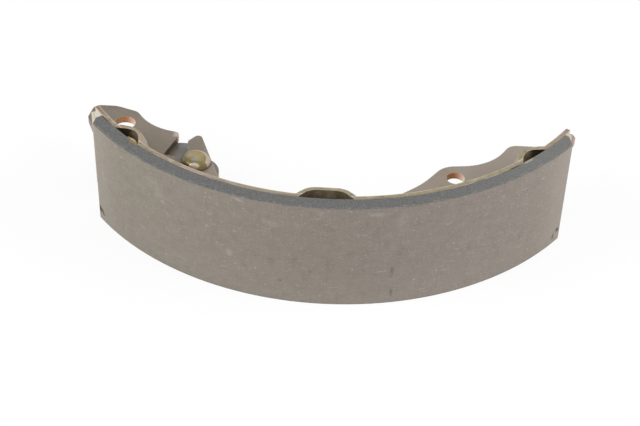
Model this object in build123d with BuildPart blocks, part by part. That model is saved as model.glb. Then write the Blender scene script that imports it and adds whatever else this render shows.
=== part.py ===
from build123d import *
import os
from math import cos, degrees, radians, sin, sqrt

# Drum brake shoe of T section with its parking-brake lever, in millimetres.
# The shoe lies on its lower edges. The origin is at the crown of the friction
# face on the lower edge, the drum's axis stands at (0, drum_radius), and the
# friction face looks toward -Y. Angles are taken about the drum's axis from
# -Y, positive toward +X.

# Drum and shoe
drum_radius = 100.0
shoe_width = 40.0

# Friction lining
lining_thickness = 5.0
lining_arc = 108.8
lining_lead = 0.7
lining_left_bevel = 2.5
lining_right_bevel = 3.4

# Table, the curved sheet that carries the lining
table_thickness = 1.5
table_arc = 119.6
corner_run = 4.3
corner_step = 2.0
corner_drop = 5.0

# Pads pressed into both edges of the table, each a shallow cup about a radial
# line just below the edge: its angle, the radius of its foot, its depth and the
# bend of its crown, which is chamfered where there is no bend
pads = [(-45.0, 8.6, 4.5, 0), (0.0, 11.0, 4.5, 4.0), (45.0, 8.2, 3.9, 0)]
pad_wall = 1.25
pad_set_in = 5.7
pad_slope = 0.75
pad_foot_skirt = 0.7
pad_crown_skirt = 0.3
pad_crown_chamfer = 1.1
pad_mouth_flare = 0.6

# Web, the flat stamping across the table
web_thickness = 2.5
web_depth = 17.4
web_reach = 1.3
web_plate_run = 22.0
tongue_root_bend = 4.0
lobe_root_bend = 10.0

# Corners of the web's end plates, as (straight run past the table's end,
# inset from the table's inner face, bend). Left: tip, shoulder and sweep,
# then the notch and the tongue. Right: tip, step, sweep and lobe.
left_plate = [
    (16.6, 2.6, 1.0),
    (22.3, 7.4, 3.0),
    (18.2, 14.4, 8.0),
    (11.8, 19.6, 4.0),
    (0.7, 20.2, 19.0),
    (-6.4, 28.5, 1.9),
    (-15.4, 17.9, 0.8),
    (-21.5, 24.0, 1.5),
    (-12.0, 28.7, 0.6),
    (-9.5, 34.5, 1.5),
]
tongue_root = (-40.2, 28.7)
right_plate = [
    (6.7, 2.7, 8.0),
    (17.3, 4.2, 1.5),
    (19.2, 6.4, 1.5),
    (16.6, 9.2, 2.0),
    (6.9, 9.6, 4.0),
    (0.0, 21.35, 4.5),
    (-14.1, 21.3, 18.5),
    (-24.0, 34.5, 8.0),
    (-36.4, 35.45, 35.0),
]
lobe_root = (-57.1, 42.8)
pin_place = (-24.4, 26.05)
left_hole_place = (7.4, 12.8)
right_hole_place = (-27.4, 27.9)
left_hole_radius = 3.8
right_hole_radius = 3.1

# Lever pin
pin_radius = 3.0
pin_head_radius = 5.2
pin_head_height = 2.8
pin_head_flat = 2.4
pin_head_brim = 0.5
pin_head_knee = (4.75, 1.4)
pin_groove_depth = 0.7
pin_tail = 1.6
pin_tail_chamfer = 0.5

# Parking lever
lever_thickness = 2.5
lever_play = 0.15
lever_head_radius = 8.1
lever_head_drop = 1.5
lever_ear = [
    (-15.0, 14.3, 2.5),
    (-0.9, 14.3, 1.5),
    (2.9, 5.5, 1.0),
    (-1.3, -6.5, 1.0),
    (-15.0, 4.0, 3.0),
]
lever_arm_width = 11.5
lever_arm_gap = 4.9
lever_arm_start = -32.0
lever_arm_end = 22.0
lever_bore_play = 0.08
cable_seat_radius = 2.6
cable_slot_width = 3.4
stop_angle = -6.0
stop_length = 9.0
stop_thickness = 2.0
stop_gap = 0.3
stop_height = 4.6

# Curved spring washer and retaining clip under the lever
washer_thickness = 0.5
washer_radius = 6.2
washer_bow = 0.6
washer_gap = 0.05
washer_bore_play = 0.25
clip_thickness = 1.0
clip_radius = 5.4
clip_mouth = 3.6
clip_play = 0.1

lining_inner = drum_radius - lining_thickness
table_inner = lining_inner - table_thickness
web_inner = table_inner - web_depth
web_bottom = (shoe_width - web_thickness) / 2
web_top = web_bottom + web_thickness
hub = Plane((0, drum_radius, 0))


def on_arc(angle, radius):
    """Point at an angle and a radius about the drum's axis."""
    return Vector(radius * sin(radians(angle)), -radius * cos(radians(angle)))


def past_end(side, along, inset):
    """Point placed from the left (-1) or right (1) end of the table.

    along runs on straight past the end, inset goes straight in toward the
    drum's axis from the table's inner face.
    """
    end = side * table_arc / 2
    tangent = Vector(cos(radians(end)), sin(radians(end)))
    return on_arc(end, table_inner - inset) + tangent * (side * along)


pin_center = past_end(-1, *pin_place)
left_hole_center = past_end(-1, *left_hole_place)
right_hole_center = past_end(1, *right_hole_place)

# Friction lining: a thick arc with both ends bevelled on the friction side
with BuildPart() as lining:
    with BuildSketch(hub):
        with BuildLine():
            start = lining_lead - lining_arc / 2
            end = start + lining_arc
            left_bevel = degrees(lining_left_bevel / drum_radius)
            right_bevel = degrees(lining_right_bevel / drum_radius)
            face_arc = lining_arc - left_bevel - right_bevel
            face = CenterArc((0, 0), drum_radius, start + left_bevel - 90, face_arc)
            back = CenterArc((0, 0), lining_inner, start - 90, lining_arc)
            Polyline(face @ 0, on_arc(start, drum_radius - lining_left_bevel), back @ 0)
            Polyline(face @ 1, on_arc(end, drum_radius - lining_right_bevel), back @ 1)
        make_face()
    extrude(amount=shoe_width)


def along_edge(angle, height, up):
    """Plane at a height on the table's outer face: X along the edge toward +X, Y by up."""
    foot = on_arc(angle, lining_inner)
    tangent = Vector(cos(radians(angle)), sin(radians(angle)))
    return Plane((foot.X, drum_radius + foot.Y, height), x_dir=tangent, z_dir=tangent.cross(up))


def toward_hub(angle):
    """Direction from the friction face straight in to the drum's axis."""
    return Vector(-sin(radians(angle)), cos(radians(angle)))


# Table: bent sheet, its four corners clipped by a short step and a slope, its
# edges drawn inward in pressed pads
with BuildPart() as table:
    with BuildSketch(hub):
        with BuildLine():
            start = -90 - table_arc / 2
            outer = CenterArc((0, 0), lining_inner, start, table_arc)
            inner = CenterArc((0, 0), table_inner, start, table_arc)
            Line(outer @ 0, inner @ 0)
            Line(outer @ 1, inner @ 1)
        make_face()
    extrude(amount=shoe_width)
    for angle, foot, depth, bend in pads:
        for height in (pad_set_in, shoe_width - pad_set_in):
            line = along_edge(angle, height, toward_hub(angle))
            base = table_thickness * 0.6
            crown = depth + pad_wall
            crown_radius = foot - pad_slope * depth + pad_crown_skirt
            rim = [(crown_radius, crown)]
            if not bend:
                cut = pad_crown_chamfer
                rim = [(crown_radius + pad_slope * cut, crown - cut), (crown_radius - cut, crown)]
            with BuildSketch(line):
                with BuildLine():
                    FilletPolyline(
                        (0, base),
                        (foot + pad_foot_skirt, base),
                        (foot + pad_foot_skirt, table_thickness),
                        *rim,
                        (0, crown),
                        radius=[0, 0] + [bend] * len(rim),
                    )
                    Line((0, crown), (0, base))
                make_face()
            revolve(axis=Axis(line.origin, line.y_dir))
    with BuildSketch(hub):
        Circle(lining_inner)
    extrude(amount=shoe_width, mode=Mode.INTERSECT)
    for angle, foot, depth, bend in pads:
        for height in (pad_set_in, shoe_width - pad_set_in):
            line = along_edge(angle, height, toward_hub(angle))
            with BuildSketch(line):
                with BuildLine():
                    FilletPolyline(
                        (0, -pad_mouth_flare),
                        (foot + pad_mouth_flare, -pad_mouth_flare),
                        (foot + pad_mouth_flare, 0),
                        (foot - pad_mouth_flare / 2, pad_mouth_flare / 2),
                        (foot - pad_slope * depth, depth),
                        (0, depth),
                        radius=[0, 0, 0, bend],
                    )
                    Line((0, depth), (0, -pad_mouth_flare))
                make_face()
            revolve(axis=Axis(line.origin, line.y_dir), mode=Mode.SUBTRACT)
    for side in (-1, 1):
        for height, up in ((0, -1), (shoe_width, 1)):
            with BuildSketch(along_edge(side * table_arc / 2, height, Vector(0, 0, up))):
                Polygon(
                    (-side * corner_run, 0),
                    (-side * corner_run, -corner_step),
                    (0, -corner_drop),
                    (side * corner_run, -corner_drop),
                    (side * corner_run, corner_step),
                    (-side * corner_run, corner_step),
                    align=None,
                )
            extrude(amount=2 * table_thickness, both=True, mode=Mode.SUBTRACT)

# Web: a band along the table, with a forked plate at the left end and a
# lobed, stepped plate at the right end. Each plate's last straight edge runs
# on into the band.
band_end = table_arc / 2 - web_reach
left_outline = [(past_end(-1, along, inset), bend) for along, inset, bend in left_plate]
right_outline = [(past_end(1, along, inset), bend) for along, inset, bend in right_plate]


def into_band(first, second):
    """Point where the straight line from first through second reaches the band's middle."""
    step = (second - first).normalized()
    near = first.dot(step)
    middle = (table_inner + web_inner) / 2
    return first + step * (sqrt(near**2 + middle**2 - first.dot(first)) - near)


with BuildPart() as web:
    with BuildSketch(hub.offset(web_bottom)) as stamping:
        with BuildLine():
            band_start = web_plate_run - 90 - band_end
            band_arc = 2 * band_end - web_plate_run
            rim = CenterArc((0, 0), table_inner, band_start, band_arc)
            waist = CenterArc((0, 0), web_inner, band_start, band_arc)
            Line(rim @ 0, waist @ 0)
            Line(rim @ 1, waist @ 1)
        make_face()
        with BuildLine():
            welded = CenterArc((0, 0), table_inner, -90 - band_end, web_plate_run + 6)
            FilletPolyline(
                welded @ 0,
                *[point for point, bend in left_outline],
                into_band(left_outline[-1][0], past_end(-1, *tongue_root)),
                welded @ 1,
                radius=[bend for point, bend in left_outline] + [0],
            )
        make_face()
        with BuildLine():
            FilletPolyline(
                on_arc(band_end, table_inner),
                *[point for point, bend in right_outline],
                into_band(right_outline[-1][0], past_end(1, *lobe_root)),
                on_arc(band_end - web_plate_run, (table_inner + web_inner) / 2),
                radius=[bend for point, bend in right_outline] + [0],
            )
            CenterArc((0, 0), table_inner, band_end - 90, -web_plate_run)
            Line(
                on_arc(band_end - web_plate_run, (table_inner + web_inner) / 2),
                on_arc(band_end - web_plate_run, table_inner),
            )
        make_face()
        roots = stamping.vertices().filter_by(
            lambda v: abs(sqrt(v.X**2 + v.Y**2) - web_inner) < 0.001
        )
        fillet(roots.sort_by(Axis.X)[0], tongue_root_bend)
        roots = stamping.vertices().filter_by(
            lambda v: abs(sqrt(v.X**2 + v.Y**2) - web_inner) < 0.001
        )
        fillet(roots.sort_by(Axis.X)[-1], lobe_root_bend)
        with Locations(pin_center):
            Circle(pin_radius, mode=Mode.SUBTRACT)
        with Locations(left_hole_center):
            Circle(left_hole_radius, mode=Mode.SUBTRACT)
        with Locations(right_hole_center):
            Circle(right_hole_radius, mode=Mode.SUBTRACT)
    extrude(amount=web_thickness)

# Stack on the lever pin, downward from the web: lever, curved washer, clip
lever_top = web_bottom - lever_play
lever_bottom = lever_top - lever_thickness
washer_top = lever_bottom - washer_gap
clip_top = washer_top - washer_bow - washer_thickness - washer_gap
clip_bottom = clip_top - clip_thickness
groove_top = clip_top + clip_play / 2
groove_bottom = clip_bottom - clip_play / 2
groove_radius = pin_radius - pin_groove_depth
pin_end = groove_bottom - pin_tail
pin_side = Plane((pin_center.X, drum_radius + pin_center.Y, 0), x_dir=(1, 0, 0), z_dir=(0, -1, 0))

# Lever pin: domed head with a flat crown, shank through web and lever, and a
# groove near its chamfered tail
with BuildPart() as lever_pin:
    with BuildSketch(pin_side):
        with BuildLine():
            crown = (pin_head_flat, web_top + pin_head_height)
            knee = (pin_head_knee[0], web_top + pin_head_knee[1])
            Line((0, web_top + pin_head_height), crown)
            TangentArc(crown, knee, tangent=(1, 0))
            Polyline(
                knee,
                (pin_head_radius, web_top + pin_head_brim),
                (pin_head_radius, web_top),
                (pin_radius, web_top),
                (pin_radius, groove_top),
                (groove_radius, groove_top),
                (groove_radius, groove_bottom),
                (pin_radius, groove_bottom),
                (pin_radius, pin_end + pin_tail_chamfer),
                (pin_radius - pin_tail_chamfer, pin_end),
                (0, pin_end),
                (0, web_top + pin_head_height),
            )
        make_face()
    revolve(axis=Axis(pin_side.origin, (0, 0, 1)))

# Parking lever: a round head about the pin with an ear under the web's notch,
# a curved arm under the web, a stop tab bent up beside the web's inner edge
# and a hooked end for the cable
arm_outer = table_inner - lever_arm_gap
arm_inner = arm_outer - lever_arm_width
arm_middle = (arm_outer + arm_inner) / 2
stop_outer = web_inner - stop_gap
stop_inner = stop_outer - stop_thickness
stop_spread = degrees(stop_length / web_inner)
head_center = pin_center - Vector(0, lever_head_drop)
cable_seat = on_arc(lever_arm_end, arm_middle)


def band(radius_in, radius_out, first, last):
    """Face of a curved band between two radii and two angles about the drum's axis."""
    with BuildSketch(Plane.XY, mode=Mode.PRIVATE) as strip:
        with BuildLine():
            far = CenterArc((0, 0), radius_out, first - 90, last - first)
            near = CenterArc((0, 0), radius_in, first - 90, last - first)
            Line(far @ 0, near @ 0)
            Line(far @ 1, near @ 1)
        make_face()
    return strip.sketch


with BuildPart() as parking_lever:
    with BuildSketch(hub.offset(lever_bottom)):
        with BuildSketch(Plane.XY) as neck:
            with Locations(head_center):
                Circle(lever_head_radius)
            with Locations(on_arc(lever_arm_start, arm_middle)):
                Circle(lever_arm_width / 2)
            make_hull()
        with BuildLine():
            FilletPolyline(
                *[pin_center + Vector(x, y) for x, y, bend in lever_ear],
                radius=[bend for x, y, bend in lever_ear],
                close=True,
            )
        make_face()
        add(band(arm_inner, arm_outer, lever_arm_start, lever_arm_end))
        add(band(stop_inner, arm_middle, stop_angle - stop_spread / 2, stop_angle + stop_spread / 2))
        with Locations(cable_seat):
            Circle(lever_arm_width / 2)
            Circle(cable_seat_radius, mode=Mode.SUBTRACT)
        with Locations(Location(cable_seat, lever_arm_end)):
            Rectangle(
                cable_slot_width,
                lever_arm_width,
                align=(Align.CENTER, Align.MIN),
                mode=Mode.SUBTRACT,
            )
        with Locations(pin_center):
            Circle(pin_radius + lever_bore_play, mode=Mode.SUBTRACT)
    extrude(amount=lever_thickness)
    with BuildSketch(hub.offset(lever_bottom)):
        add(band(stop_inner, stop_outer, stop_angle - stop_spread / 2, stop_angle + stop_spread / 2))
    extrude(amount=stop_height)

# Curved spring washer: a ring cut from a bowed strip, its ends up
with BuildPart() as wave_washer:
    with BuildSketch(pin_side):
        with BuildLine():
            high = ThreePointArc(
                (-washer_radius, washer_top),
                (0, washer_top - washer_bow),
                (washer_radius, washer_top),
            )
            low = ThreePointArc(
                (-washer_radius, washer_top - washer_thickness),
                (0, washer_top - washer_bow - washer_thickness),
                (washer_radius, washer_top - washer_thickness),
            )
            Line(high @ 0, low @ 0)
            Line(high @ 1, low @ 1)
        make_face()
    extrude(amount=washer_radius, both=True)
    with BuildSketch(hub.offset(clip_top)):
        with Locations(pin_center):
            Circle(washer_radius)
            Circle(pin_radius + washer_bore_play, mode=Mode.SUBTRACT)
    extrude(amount=lever_bottom - clip_top, mode=Mode.INTERSECT)

# Retaining clip: an open ring snapped into the pin's groove
with BuildPart() as retaining_clip:
    with BuildSketch(hub.offset(clip_bottom)):
        with Locations(pin_center):
            Circle(clip_radius)
            Circle(groove_radius + clip_play / 2, mode=Mode.SUBTRACT)
            Rectangle(clip_mouth, clip_radius, align=(Align.CENTER, Align.MIN), mode=Mode.SUBTRACT)
    extrude(amount=clip_thickness)

os.makedirs("parts", exist_ok=True)
lining.part.label = "lining"
export_step(lining.part, "parts/lining.step")
table.part.label = "table"
export_step(table.part, "parts/table.step")
web.part.label = "web"
export_step(web.part, "parts/web.step")
lever_pin.part.label = "lever_pin"
export_step(lever_pin.part, "parts/lever_pin.step")
parking_lever.part.label = "parking_lever"
export_step(parking_lever.part, "parts/parking_lever.step")
wave_washer.part.label = "wave_washer"
export_step(wave_washer.part, "parts/wave_washer.step")
retaining_clip.part.label = "retaining_clip"
export_step(retaining_clip.part, "parts/retaining_clip.step")
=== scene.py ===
from math import cos, radians, sin

import bmesh
import bpy
from mathutils import Matrix, Vector, noise


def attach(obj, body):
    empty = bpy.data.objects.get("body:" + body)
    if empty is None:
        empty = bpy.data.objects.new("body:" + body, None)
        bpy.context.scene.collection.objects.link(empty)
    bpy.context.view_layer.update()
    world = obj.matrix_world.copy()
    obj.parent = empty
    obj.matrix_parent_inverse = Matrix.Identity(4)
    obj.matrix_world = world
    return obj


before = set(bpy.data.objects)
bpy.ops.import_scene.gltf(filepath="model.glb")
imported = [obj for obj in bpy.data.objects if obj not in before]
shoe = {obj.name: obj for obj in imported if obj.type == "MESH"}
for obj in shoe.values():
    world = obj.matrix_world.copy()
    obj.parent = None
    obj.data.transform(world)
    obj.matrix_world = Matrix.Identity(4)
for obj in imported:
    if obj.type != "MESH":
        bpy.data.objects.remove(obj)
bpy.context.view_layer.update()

# Table: strip bent to the drum's curve, with three pads pressed in each edge. It
# has a satin olive coat, thin on the sheared edges, and its outside past the
# lining's ends is painted pale as a highlight.
drum_radius = 0.1
shoe_width = 0.04
middle = shoe_width / 2
table_outside = 0.095
table_inside = 0.0935
rim_half_arc = 1.05
pad_inset = 0.0057


def tone(red, green, blue):
    """A colour as the eye reads it, 0 to 255, for a shader's socket."""
    return (*(((part / 255 + 0.055) / 1.055) ** 2.4 for part in (red, green, blue)), 1.0)


class Value:
    """A socket in a finish. Arithmetic on values adds Math nodes."""

    def __init__(self, tree, socket=None):
        self.tree = tree
        self.socket = socket

    def node(self, kind, settings=(), inputs=(), out=0):
        """Adds a node: its settings first, then values or links for its sockets."""
        made = self.tree.nodes.new(kind)
        for name, setting in dict(settings).items():
            if name == "stops":
                stops = made.color_ramp.elements
                for place, (position, colour) in enumerate(setting):
                    stop = stops[place] if place < 2 else stops.new(position)
                    stop.position = position
                    stop.color = colour
            else:
                setattr(made, name, setting)
        for name, value in dict(inputs).items():
            if isinstance(value, Value):
                self.tree.links.new(value.socket, made.inputs[name])
            else:
                made.inputs[name].default_value = value
        return Value(self.tree, made.outputs[out])

    def math(self, operation, *terms):
        """Adds a Math node for the terms, which are values or plain numbers."""
        return self.node("ShaderNodeMath", {"operation": operation}, enumerate(terms))

    def __add__(self, other):
        return self.math("ADD", self, other)

    def __sub__(self, other):
        return self.math("SUBTRACT", self, other)

    def __rsub__(self, other):
        return self.math("SUBTRACT", other, self)

    def __mul__(self, other):
        return self.math("MULTIPLY", self, other)

    def __truediv__(self, other):
        return self.math("DIVIDE", self, other)

    def __pow__(self, other):
        return self.math("POWER", self, other)

    def __abs__(self):
        return self.math("ABSOLUTE", self)

    __radd__ = __add__
    __rmul__ = __mul__

    def rise(self, low, high):
        """0 up to low and 1 from high on, eased between them."""
        return self.node(
            "ShaderNodeMapRange",
            {"interpolation_type": "SMOOTHSTEP"},
            {0: self, 1: low, 2: high, 3: 0.0, 4: 1.0},
        )

    def fall(self, low, high):
        """1 up to low and 0 from high on, eased between them."""
        return 1 - self.rise(low, high)

    def near(self, place, close, far):
        """1 up to close from the place, and 0 from far on either side of it."""
        return abs(self - place).fall(close, far)

    def blend(self, low, high):
        """Colour low where the value is 0, high where it is 1."""
        return self.node("ShaderNodeMix", {"data_type": "RGBA"}, {0: self, 6: low, 7: high}, out=2)

    def ramp(self, *stops):
        """Colour read off a row of (value, colour) stops."""
        return self.node("ShaderNodeValToRGB", {"stops": stops}, {0: self})

    def coated(self, *coats):
        """This colour under coats of others, each laid on through its own mask."""
        colour = self
        for mask, coat in coats:
            colour = mask.blend(colour, coat)
        return colour


def finish(name, fixed=()):
    """A finish with its fixed values set: its material, shader and Object coordinates."""
    material = bpy.data.materials.new(name)
    material.use_nodes = True
    shader = material.node_tree.nodes["Principled BSDF"]
    for socket, value in dict(fixed).items():
        shader.inputs[socket].default_value = value
    place = Value(material.node_tree).node("ShaderNodeTexCoord", out="Object")
    return material, shader, place


def split(place):
    """The three numbers of a place."""
    parts = place.node("ShaderNodeSeparateXYZ", (), {0: place}).socket.node.outputs
    return [Value(place.tree, part) for part in parts]


def apart(aside, ahead):
    """The distance that two offsets at right angles make."""
    return (aside * aside + ahead * ahead) ** 0.5


def around_drum(place):
    """Radius and angle about the drum's axis, and height across the shoe."""
    x, y, height = split(place)
    inward = drum_radius - y
    return apart(x, inward), place.math("ARCTAN2", x, inward), height


def grain(place, scale, detail=3.0, roughness=0.5, stretch=None):
    """Even noise, finer with a larger scale, drawn out where stretch is small."""
    if stretch:
        place = place.node("ShaderNodeMapping", (), {0: place, 3: stretch})
    inputs = {"Vector": place, "Scale": scale, "Detail": detail, "Roughness": roughness}
    return place.node("ShaderNodeTexNoise", (), inputs)


def corner_wear_and_highlight(place, reach):
    """Normals rounded over the corners, and how near a corner a spot lies, which masks edges paled by
    wear and a painted highlight.
    """
    rounded = place.node("ShaderNodeBevel", {"samples": 6}, {"Radius": reach})
    plain = place.node("ShaderNodeNewGeometry", out="Normal")
    both = {0: rounded, 1: plain}
    likeness = place.node("ShaderNodeVectorMath", {"operation": "DOT_PRODUCT"}, both, out="Value")
    return rounded, (1 - likeness).rise(0.01, 0.12)


def wear(shader, base, roughness, bump, strength, depth, corners=None):
    """Gives a shader its varying colour, roughness and bump, over rounded corners."""
    inputs = {"Strength": strength, "Distance": depth, "Height": bump}
    if corners:
        inputs["Normal"] = corners
    relief = bump.node("ShaderNodeBump", (), inputs)
    for name, value in (("Base Color", base), ("Roughness", roughness), ("Normal", relief)):
        shader.id_data.links.new(value.socket, shader.inputs[name])


table_finish, table_shader, spot = finish("plated_table_steel", {"Metallic": 0.35})
radius, angle, height = around_drum(spot)
rounded, corner = corner_wear_and_highlight(spot, 0.0003)
rub = grain(spot, 420, 4, 0.7)
streak = grain(spot, 330, 3, 0.7)
off_middle = abs(height - middle)
near_edge = middle - off_middle
depth = table_outside - radius
table_tone = grain(spot, 60, 4).rise(0.3, 0.7).blend(tone(118, 106, 90), tone(140, 127, 110))
table_tone = table_tone.coated((rub.rise(0.5, 0.75) * 0.4, tone(156, 144, 126)))

# The sheared edges, read from the left end to the right
rim = off_middle.rise(middle - 0.00015, middle - 0.00005)
along_rim = (angle + rim_half_arc) / (2 * rim_half_arc)
rim_tone = (along_rim + (streak - 0.5) * 0.25).ramp(
    (0.0, tone(146, 122, 96)),
    (0.085, tone(148, 126, 98)),
    (0.115, tone(168, 152, 132)),
    (0.15, tone(158, 142, 120)),
    (0.175, tone(148, 134, 104)),
    (0.225, tone(150, 136, 108)),
    (0.26, tone(174, 148, 138)),
    (0.31, tone(158, 140, 118)),
    (0.5, tone(150, 138, 114)),
    (0.66, tone(148, 136, 100)),
    (0.86, tone(152, 140, 106)),
    (0.95, tone(160, 138, 122)),
    (1.0, tone(112, 98, 82)),
)
rim_tone = rim_tone.coated(
    (streak.rise(0.5, 0.7) * 0.6, tone(180, 170, 152)),
    (streak.fall(0.3, 0.42) * 0.6, tone(112, 98, 74)),
)

# The pads, each by its place in degrees, the radius of its foot, how deep it is
# pressed and how far from the edge the glue in its pocket begins. Their pockets
# are painted paler against the shade inside them, their domes carry a painted
# highlight, and their mouths, like the rim's inner line, a painted highlight.
# Painted highlight line along the rim's inner edge, and round each pad's mouth below
rim_line_highlight = radius.rise(table_inside - 0.0005, table_inside - 0.0001)
rim_line_highlight = rim_line_highlight * radius.fall(table_inside + 0.0001, table_inside + 0.0003)
for degrees, foot, pressed, filled in (
    (-45.0, 0.0086, 0.0045, 0.0043),
    (0.0, 0.0110, 0.0045, 0.0090),
    (45.0, 0.0082, 0.0039, 0.0030),
):
    aside = (angle - radians(degrees)) * radius
    away = apart(aside, near_edge - pad_inset) + depth * 0.75
    pocket = away.fall(foot + 0.0004, foot + 0.0007) * depth.rise(0.0001, 0.0003)
    pocket = pocket * depth.fall(pressed + 0.0002, pressed + 0.0005)
    glue = pocket * near_edge.rise(filled, filled + 0.0008)
    # Painted highlight on the dome beside the pocket
    dome_highlight = away.fall(foot + 0.0022, foot + 0.0032) * depth.rise(0.0017, 0.0024) * (1 - pocket)
    table_tone = table_tone.coated(
        # Pocket painted paler against the shade inside it
        (pocket * 0.9, rub.rise(0.35, 0.65).blend(tone(146, 130, 102), tone(176, 160, 134))),
        (glue * 0.85, rub.rise(0.35, 0.65).blend(tone(160, 136, 92), tone(190, 166, 118))),
        (dome_highlight * 0.6, tone(178, 156, 136)),
    )
    # Painted highlight round the pad's mouth
    mouth_highlight = away.rise(foot + 0.0017, foot + 0.0019) * depth.rise(0.0018, 0.0024)
    mouth_highlight = mouth_highlight + depth.rise(pressed + 0.001, pressed + 0.0012)
    rim_line_highlight = rim_line_highlight + mouth_highlight * away.fall(foot + 0.0028, foot + 0.0034)

# The outside, painted pale as a highlight, and brown at the right end
outside_mottle = grain(spot, 250, 4, 0.7).rise(0.35, 0.65)
outside_highlight_tone = outside_mottle.blend(tone(198, 184, 166), tone(216, 206, 192))
outside_highlight_tone = outside_highlight_tone.coated((angle.rise(radians(57.8), radians(59.2)), tone(158, 128, 112)))
outside = radius.rise(table_outside - 0.0002, table_outside - 0.0001) * (1 - rim)
under_lining = radius.rise(table_outside - 0.0005, table_outside - 0.0002) * rim
under_lining = under_lining * grain(spot, 160, 3).rise(0.45, 0.6)
table_tone = table_tone.coated(
    (rim, rim_tone),
    # Pale corners: worn coat with a painted highlight
    (corner * 0.6, tone(200, 190, 176)),
    # Painted highlight along the rim's inner line and the pads' mouths
    (rim_line_highlight * rim * (streak.rise(0.4, 0.5) * 0.4 + 0.4), tone(208, 198, 188)),
    # Painted highlight on the outside
    (outside, outside_highlight_tone),
    (under_lining * 0.5, tone(90, 78, 60)),
)
table_rough = 0.42 + rub.rise(0.4, 0.7) * 0.14
wear(table_shader, table_tone, table_rough, rub, strength=0.15, depth=0.0001, corners=rounded)
shoe["table"].data.materials[0] = table_finish

# Web: a flat stamping, welded along the middle of the table and plated with it.
# The satin olive coat is worn paler toward the right end, and along every sheared
# edge, where a painted highlight lies on it too, and in the holes, whose walls show
# bare copper-coloured steel with painted light and shade across them.
half_web = 0.00125
welds_a_turn = 44
pin_x, pin_y = -0.0460216, 0.044983
spring_holes = ((-0.0734693, 0.0658019, 0.0038), (0.0429137, 0.0433208, 0.0031))

web_finish, web_shader, spot = finish("olive_plated_steel", {"Metallic": 0.35})
radius, angle, height = around_drum(spot)
x, y, _ = split(spot)
rounded, corner = corner_wear_and_highlight(spot, 0.00035)
smudge = grain(spot, 130, 5, 0.7)
brushed = grain(spot, 900, 3, 0.7)
web_tone = angle.rise(-0.5, 0.75).blend(tone(124, 114, 101), tone(152, 142, 130))

# The sheared edges, with painted shade on the walls of the notch beside the pin
sheared = abs(height - middle).fall(half_web - 0.0001, half_web - 0.00003)
flat = 1 - sheared
# Painted shade on the notch's walls
notch_shade = x.rise(-0.0590, -0.0580) * x.fall(-0.0486, -0.0480)
notch_shade = notch_shade * y.rise(0.044, 0.046) * y.fall(0.0590, 0.0605)
cut = grain(spot, 500, 3, 0.7, stretch=(1, 1, 0.2)).rise(0.35, 0.7)
cut_tone = cut.blend(tone(104, 88, 74), tone(158, 138, 122))
cut_tone = cut_tone.coated((notch_shade * 0.85, tone(66, 58, 44)))

# Rubbed and stained places, a painted highlight on the plate's tip, and the pin's painted shadow
right_tip = angle.rise(radians(58.5), radians(62.5)) * radius.rise(0.088, 0.091)
left_tip = angle.fall(radians(-72.6), radians(-70.8)) * smudge.rise(0.35, 0.55)
tongue = x.rise(-0.0450, -0.0415) * x.fall(-0.0360, -0.0320) * y.rise(0.0345, 0.0385)
plate_tip_highlight = x.rise(-0.0562, -0.0544) * x.fall(-0.0522, -0.0518) * y.rise(0.0585, 0.0600)
# Painted shadow of the pin's head on the web
pin_shadow = apart(x - pin_x, y - pin_y).fall(0.0050, 0.0062) * flat
pin_shadow = pin_shadow * (x - y).rise(-0.0890, -0.0850)
lobe = x.rise(0.026, 0.036) * x.fall(0.038, 0.048) * y.rise(0.034, 0.042) * flat
web_tone = web_tone.coated(
    (grain(spot, 40, 4, 0.6).rise(0.4, 0.7) * 0.5, tone(143, 129, 116)),
    (smudge.rise(0.52, 0.75) * 0.5, tone(118, 108, 92)),
    (brushed.rise(0.5, 0.8) * 0.35, tone(164, 152, 138)),
    (sheared, cut_tone),
    (right_tip * 0.5, tone(196, 180, 168)),
    (left_tip * 0.5, tone(112, 92, 80)),
    (tongue * 0.5, tone(168, 152, 138)),
    # Painted highlight on the plate's rounded tip
    (plate_tip_highlight * 0.7, tone(206, 190, 180)),
    # Painted shadow beside the pin
    (pin_shadow * 0.8, tone(84, 70, 60)),
    (lobe * 0.4, tone(146, 126, 110)),
    # Pale sheared edges: worn coat with a painted highlight, less in the notch, brighter along the
    # tongue's cut edge
    (corner * (0.6 - notch_shade * 0.35), tone(190, 172, 154)),
    (corner * tongue * 0.8, tone(222, 202, 190)),
)

# Bare walls of the two spring holes, with painted light and shade across each wall
for hole_x, hole_y, hole_radius in spring_holes:
    aside = x - hole_x
    wall = apart(aside, y - hole_y).fall(hole_radius, hole_radius + 0.00006)
    across_hole = aside / hole_radius * 0.5 + 0.5 + (smudge - 0.5) * 0.3
    bare_wall_and_light = across_hole.ramp(
        (0.0, tone(200, 164, 144)),
        (0.12, tone(140, 108, 72)),
        (0.35, tone(186, 132, 84)),
        (0.6, tone(206, 152, 116)),
        (0.85, tone(226, 190, 166)),
        (1.0, tone(238, 226, 210)),
    )
    web_tone = web_tone.coated((wall, bare_wall_and_light))

# Heat of the projection welds along the table
weld_row = angle * (welds_a_turn / 2)
weld = abs(weld_row.math("SINE", weld_row)).rise(0.9, 1.0)
weld = weld * radius.rise(table_inside - 0.003, table_inside - 0.0001)
web_tone = web_tone.coated((weld * 0.5, tone(92, 84, 86)))
web_rough = 0.4 + smudge.rise(0.4, 0.7) * 0.14 - corner * 0.08
web_bump = brushed * 0.6 + smudge * 0.4
wear(web_shader, web_tone, web_rough, web_bump, strength=0.12, depth=0.00008, corners=rounded)
shoe["web"].data.materials[0] = web_finish

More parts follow.
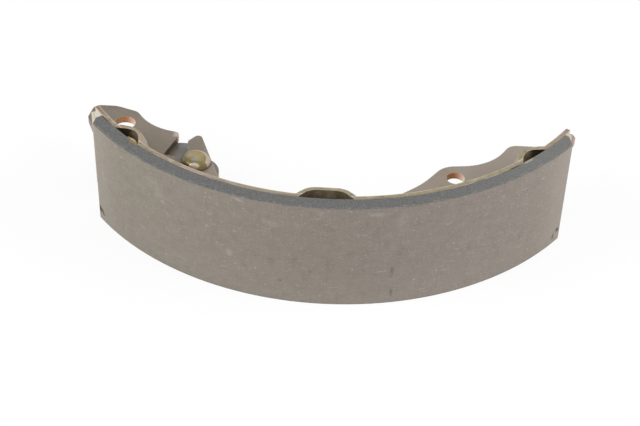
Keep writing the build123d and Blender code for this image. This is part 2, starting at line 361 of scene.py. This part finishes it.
# Friction lining: a moulded block of resin and fibre, bonded to the table and
# ground to the drum's radius. The ground face is a warm grey with pale flecks
# and rubbed marks; the moulded edges stay a darker, grainy grey.
lining_finish, lining_shader, spot = finish("ground_friction_compound", {"Specular IOR Level": 0.3})
radius, angle, height = around_drum(spot)
along = spot.node("ShaderNodeCombineXYZ", (), {0: angle * drum_radius, 1: height, 2: radius})
rounded, corner = corner_wear_and_highlight(spot, 0.0004)
ragged = (grain(along, 700, 4, 0.65) - 0.5) * 0.0007
fray = grain(along, 500, 4, 0.7) * 2.4 - 1.2


def rubbed(*marks):
    """Soft marks on the friction face: place, half size, lean and strength of each."""
    total = 0.0
    for degrees, up, wide, tall, lean, strength in marks:
        aside = angle * drum_radius - radians(degrees) * drum_radius
        above = height - up
        out = apart((aside + above * lean) / wide, above / tall) + fray
        total = total + out.fall(0.2, 1.4) * strength
    return total


# The ground face: its cloudy colour and woven fibres, then pores, flecks and marks
ground = (radius + ragged).rise(drum_radius - 0.0008, drum_radius - 0.00055)
ground = ground * (height + ragged).fall(shoe_width - 0.0002, shoe_width)
ground = ground * (height - ragged).rise(0.0, 0.0002)
mottle = grain(along, 260, 5, 0.7)
weft = grain(along, 900, 2, 0.6, stretch=(0.25, 1.3, 1))
warp = grain(along, 900, 2, 0.6, stretch=(1.3, 0.25, 1))
pores = grain(along, 2000, 3, 0.7)
flecks = grain(along, 1300, 2, 0.8, stretch=(0.6, 1, 1)).rise(0.64, 0.72)
fibres = grain(along, 380, 3, 0.6, stretch=(0.5, 1.2, 1)).rise(0.62, 0.74)
pale_marks = rubbed(
    (-9.6, 0.0316, 0.0022, 0.0018, 0.6, 0.4),
    (-17.9, 0.0161, 0.0015, 0.0011, 0.0, 1.0),
    (-10.9, 0.0326, 0.0015, 0.0012, 0.4, 0.6),
    (9.8, 0.0375, 0.0040, 0.0008, 0.0, 0.6),
    (-33.9, 0.0316, 0.0030, 0.0050, 0.5, 0.35),
    (14.2, 0.0340, 0.0020, 0.0035, 0.0, 0.5),
)
dark_marks = rubbed(
    (12.8, 0.0136, 0.0007, 0.0022, 0.0, 1.0),
    (12.9, 0.0045, 0.0006, 0.0017, 0.0, 1.0),
    (-8.0, 0.0086, 0.0005, 0.0005, 0.0, 1.0),
    (-2.4, 0.0135, 0.0004, 0.0003, 0.0, 1.0),
)
chipped_corners = rubbed(
    (52.2, 0.0046, 0.0011, 0.0011, 0.0, 1.0),
    (50.9, 0.0030, 0.0006, 0.0013, 0.0, 0.7),
    (-52.1, 0.0042, 0.0030, 0.0016, 0.8, 1.0),
    (-52.9, 0.0051, 0.0014, 0.0020, 0.0, 1.0),
)
rust_speck = rubbed((-14.9, 0.0355, 0.0008, 0.0006, 0.0, 1.0))
face_tone = angle.rise(-0.7, 0.6).blend(tone(138, 131, 119), tone(139, 130, 122)).coated(
    (grain(along, 22, 3).rise(0.35, 0.65) * 0.5, tone(143, 134, 126)),
    (mottle.rise(0.35, 0.7) * 0.5, tone(154, 147, 137)),
    ((weft + warp).rise(0.95, 1.35) * 0.35, tone(164, 156, 147)),
    (pores.fall(0.3, 0.46) * 0.5, tone(108, 101, 92)),
    (pores.rise(0.55, 0.7) * 0.35, tone(176, 168, 158)),
    (mottle.fall(0.28, 0.42) * 0.35, tone(112, 105, 96)),
    (flecks * 0.65, tone(204, 196, 186)),
    (fibres * 0.4, tone(184, 178, 168)),
    # Painted light: the face lighter toward both ends
    (abs(angle).rise(0.74, 0.94) * 0.4, tone(174, 166, 156)),
    # Painted sheen: the face a little lighter toward its lower edge
    (height.fall(0.0, 0.018) * 0.16, tone(172, 164, 154)),
    (pale_marks * (mottle.rise(0.3, 0.6) * 0.3 + 0.15), tone(186, 184, 176)),
    (dark_marks * 0.55, tone(96, 88, 78)),
    (chipped_corners * 0.9, tone(66, 58, 48)),
    (rust_speck * 0.3, tone(190, 146, 98)),
)

# The moulded edges and bevels, a little paler toward the right end
speckle = grain(spot, 1900, 3, 0.75)
coarse = grain(spot, 700, 3, 0.6)
edge_tone = speckle.rise(0.36, 0.66).blend(tone(90, 91, 91), tone(119, 119, 117)).coated(
    (coarse.rise(0.5, 0.7) * 0.2, tone(144, 143, 138)),
    (coarse.fall(0.3, 0.45) * 0.35, tone(76, 76, 76)),
    (angle.rise(0.2, 0.95) * 0.22, tone(148, 146, 142)),
    (grain(spot, 1100, 1).rise(0.74, 0.78) * 0.6, tone(150, 118, 88)),
)
lip = radius.rise(drum_radius - 0.0010, drum_radius - 0.0006) * grain(along, 300, 3).rise(0.5, 0.62)
lip = lip * radius.fall(drum_radius - 0.0005, drum_radius - 0.0003)

# Glue pressed out along the joint, ochre under the left pad and pale under the
# right, with an open gap past each of them, painted dark as the shade inside it
upper_edge = height.rise(shoe_width - 0.0002, shoe_width - 0.0001)
joint = (radius + ragged).fall(table_outside + 0.0004, table_outside + 0.0012) * upper_edge
left_glue = joint * angle.near(radians(-42.6), 0.015, 0.032)
right_glue = joint * angle.near(radians(42.9), 0.01, 0.03)
ochre = mottle.rise(0.35, 0.6).blend(tone(150, 128, 84), tone(112, 94, 64))
gap_shade = (radius + ragged * 0.5).fall(table_outside + 0.0002, table_outside + 0.0006) * upper_edge
right_gap_shade = gap_shade * angle.near(radians(39.2), 0.012, 0.03)
left_gap_shade = gap_shade * angle.near(radians(-52.2), 0.012, 0.03) * 0.7
specks = radius.fall(table_outside + 0.0001, table_outside + 0.0003) * weft.rise(0.45, 0.6)
specks = specks * angle.near(radians(31.0), 0.1, 0.13)

lining_tone = ground.blend(edge_tone, face_tone).coated(
    (lip * 0.5, tone(160, 152, 142)),
    (left_glue, ochre),
    (right_glue * 0.8, tone(178, 164, 148)),
    # Painted shade in the open gaps
    (right_gap_shade + left_gap_shade, tone(46, 42, 36)),
    (specks * 0.5, tone(216, 208, 196)),
    (corner * mottle.rise(0.3, 0.55) * 0.45, tone(182, 172, 160)),
)
lining_rough = mottle.rise(0.3, 0.7) * 0.12 + 0.8
lining_bump = speckle * 0.6 + grain(along, 3200, 2) * 0.4
wear(lining_shader, lining_tone, lining_rough, lining_bump, strength=0.4, depth=0.00012, corners=rounded)
shoe["lining"].data.materials[0] = lining_finish

# Glue bead: adhesive that ran out of the joint into the left pad's pocket and
# set there, ochre and glossy, level with the lining's edge.
bead_half_size = (0.0030, 0.0011, 0.0012)
bead_radius = 0.0944
bead_angle = radians(-43.5)
bead_height = 0.0386


def into_scene(name, shape):
    """A finished shape as an object of the scene."""
    piece = bpy.data.objects.new(name, bpy.data.meshes.new(name))
    shape.to_mesh(piece.data)
    shape.free()
    bpy.context.scene.collection.objects.link(piece)
    return piece


bead_shape = bmesh.new()
bmesh.ops.create_icosphere(bead_shape, subdivisions=4, radius=1.0)
bmesh.ops.scale(bead_shape, vec=bead_half_size, verts=bead_shape.verts)
for vert in bead_shape.verts:
    vert.co *= 1 + 0.12 * noise.noise(vert.co * 900)
bmesh.ops.rotate(bead_shape, matrix=Matrix.Rotation(bead_angle, 3, "Z"), verts=bead_shape.verts)
bead_place = (bead_radius * sin(bead_angle), drum_radius - bead_radius * cos(bead_angle), bead_height)
bmesh.ops.translate(bead_shape, vec=bead_place, verts=bead_shape.verts)
for face in bead_shape.faces:
    face.smooth = True
bead = into_scene("glue_bead", bead_shape)

glue_finish, glue_shader, spot = finish("set_glue")
resin = grain(spot, 500, 4, 0.6)
glue_tone = resin.rise(0.35, 0.65).blend(tone(132, 110, 70), tone(180, 158, 110))
glue_rough = 0.35 + resin * 0.2
wear(glue_shader, glue_tone, glue_rough, grain(spot, 1500, 3), strength=0.3, depth=0.0001)
bead.data.materials.append(glue_finish)
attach(bead, "shoe")

# Lever pin: a steel rivet in yellow zinc, its shank through web and lever and its
# domed, flat-crowned head on the web. The head carries painted reflections, a
# pale painted reflection round the brim, painted shade on its flank and under
# the brim, and painted shade on a rougher patch where a lamp's highlight falls.
zinc_finish, zinc_shader, spot = finish("yellow_zinc", {"Metallic": 0.55})
x, y, height = split(spot)
rounded, corner = corner_wear_and_highlight(spot, 0.0002)
film = grain(spot, 260, 4, 0.6)
aside = x - pin_x
ahead = y - pin_y
outward = apart(aside, ahead)


def patch(across, along, wide, tall):
    """A soft patch on the head, across and along from the pin's axis, for painted reflections and
    painted shade.
    """
    return (apart((aside - across) / wide, (ahead - along) / tall) + film).fall(1.1, 1.7)


# Painted pale reflection round the brim
brim_reflection = (outward + aside * 0.2 + ahead * 0.4).rise(0.0038, 0.0046)
brim_reflection = brim_reflection * (ahead + aside * 0.6).rise(-0.0022, 0.0008)
# Painted shade under the brim
under_brim_shade = height.fall(0.0214, 0.0226) * (ahead - aside * 0.5).fall(-0.003, 0.0)
# Painted shade, with more roughness, where a lamp's highlight falls
highlight_dimming_shade = patch(0.0032, -0.0034, 0.0018, 0.0012)
zinc_tone = film.rise(0.38, 0.62).blend(tone(134, 120, 84), tone(168, 152, 118)).coated(
    (grain(spot, 420, 3).rise(0.58, 0.7) * 0.4, tone(134, 136, 136)),
    # Painted shade on the head's outer flank
    (outward.rise(0.0022, 0.0036) * 0.5, tone(104, 94, 52)),
    # Painted reflections: blue-grey and golden patches, and a cream highlight low on the head
    (patch(0.0001, -0.0021, 0.0014, 0.0008) * 0.7, tone(140, 144, 146)),
    (patch(0.0001, -0.0043, 0.0018, 0.0007) * 0.8, tone(216, 208, 180)),
    (patch(-0.0006, 0.0012, 0.0022, 0.0014) * 0.5, tone(174, 152, 104)),
    (patch(0.0024, -0.0012, 0.0009, 0.0018) * 0.5, tone(170, 148, 92)),
    # Painted reflection round the brim
    (brim_reflection * 0.85, tone(188, 174, 160)),
    # Painted shade under the brim
    (under_brim_shade * 0.3, tone(70, 60, 38)),
    # Painted shade over the lamp's highlight
    (highlight_dimming_shade * 0.7, tone(118, 102, 68)),
    (corner * 0.4, tone(214, 204, 184)),
)
zinc_rough = 0.3 + film.rise(0.4, 0.65) * 0.12 + brim_reflection * 0.15 + highlight_dimming_shade * 0.3
zinc_bump = grain(spot, 900, 2)
wear(zinc_shader, zinc_tone, zinc_rough, zinc_bump, strength=0.12, depth=0.00005, corners=rounded)
shoe["lever_pin"].data.materials[0] = zinc_finish

# Parking lever: blanked from strip, pinned under the web. It is a bluish grey
# with brown stains, rubbed where it swings against the web.
lever_finish, lever_shader, spot = finish("blue_grey_strip", {"Metallic": 0.5})
rounded, corner = corner_wear_and_highlight(spot, 0.0003)
stain = grain(spot, 190, 4, 0.6)
lever_tone = grain(spot, 80, 4).rise(0.35, 0.65).blend(tone(112, 112, 112), tone(138, 138, 138))
lever_tone = lever_tone.coated(
    (stain.rise(0.42, 0.58) * 0.85, tone(134, 120, 102)),
    (corner * 0.5, tone(160, 156, 150)),
)
lever_rough = 0.36 + stain.rise(0.4, 0.6) * 0.12
lever_bump = grain(spot, 500, 4, 0.7)
wear(lever_shader, lever_tone, lever_rough, lever_bump, strength=0.12, depth=0.00008, corners=rounded)
shoe["parking_lever"].data.materials[0] = lever_finish

# Spring washer and clip: dark oiled spring steel, pushed on the pin under the
# lever to hold it, bright where they were sheared.
spring_finish, spring_shader, spot = finish("oiled_spring_steel", {"Metallic": 0.8})
rounded, corner = corner_wear_and_highlight(spot, 0.0001)
oil = grain(spot, 300, 4, 0.6)
spring_tone = oil.rise(0.35, 0.65).blend(tone(66, 66, 67), tone(102, 101, 98))
spring_tone = spring_tone.coated((corner * 0.6, tone(150, 148, 144)))
spring_rough = 0.3 + oil * 0.15
spring_bump = grain(spot, 700, 3)
wear(spring_shader, spring_tone, spring_rough, spring_bump, strength=0.1, depth=0.00004, corners=rounded)
for name in ("wave_washer", "retaining_clip"):
    shoe[name].data.materials[0] = spring_finish

# Floor: a plain sheet of white paper that the shoe lies on, a hair below its
# lower edge. It shows white and keeps the shoe's shadow.
white = (1.0, 1.0, 1.0, 1.0)
paper_size = 3.0
paper_gap = 0.00005
shown_white = 0.9


def looked_at(tree):
    """1 for what is seen, straight or by way of metal or glass, and else 0."""
    seen = Value(tree).node("ShaderNodeLightPath", out="Is Camera Ray")
    rays = seen.socket.node.outputs
    for name in ("Is Glossy Ray", "Is Transmission Ray"):
        seen = seen.math("MAXIMUM", seen, Value(tree, rays[name]))
    return seen


floor_shape = bmesh.new()
bmesh.ops.create_grid(floor_shape, x_segments=1, y_segments=1, size=paper_size)
floor = into_scene("floor", floor_shape)
floor.location.z = -paper_gap

matt_white = {"Base Color": white, "Roughness": 1.0, "Specular IOR Level": 0.0}
paper, paper_shader, _ = finish("white_paper", matt_white)
shaded = Value(paper.node_tree, paper_shader.outputs[0])
glow = shaded.node("ShaderNodeEmission", (), {"Strength": 1.0})
shown = looked_at(paper.node_tree) * shown_white
mixed = shaded.node("ShaderNodeMixShader", (), {0: shown, 1: shaded, 2: glow})
paper.node_tree.links.new(mixed.socket, paper.node_tree.nodes["Material Output"].inputs[0])
floor.data.materials.append(paper)

# Light: a white room that gives less light than it shows, and one soft box on
# each side of the shoe.
room_light = 0.45
box_size = 0.6
box_power = 7.0
shoe_middle = Vector((0, 0.04, 0.02))

world = bpy.data.worlds.new("studio")
world.use_nodes = True
bpy.context.scene.world = world
room = world.node_tree.nodes["Background"]
room.inputs["Color"].default_value = white
brightness = room_light + looked_at(world.node_tree) * (1 - room_light)
world.node_tree.links.new(brightness.socket, room.inputs["Strength"])

for name, place in (("left_box", (-0.9, -0.3, 0.75)), ("right_box", (0.9, -0.1, 0.75))):
    lamp = bpy.data.lights.new(name, "AREA")
    lamp.size = box_size
    lamp.energy = box_power
    box = bpy.data.objects.new(name, lamp)
    box.location = place
    box.rotation_euler = (shoe_middle - box.location).to_track_quat("-Z", "Y").to_euler()
    bpy.context.scene.collection.objects.link(box)

# Camera: a long lens, half a metre in front of the shoe and 39 degrees above
# it, turned and tilted a little to one side.
camera = bpy.data.objects.new("camera", bpy.data.cameras.new("camera"))
camera.data.lens = 85.845
camera.data.sensor_width = 36.0
camera.data.clip_start = 0.01
camera.location = (0.008358, -0.369441, 0.338056)
camera.rotation_euler = (radians(50.931), radians(-1.506), radians(2.768))
bpy.context.scene.collection.objects.link(camera)
bpy.context.scene.camera = camera
bpy.context.scene.view_settings.view_transform = "Standard"
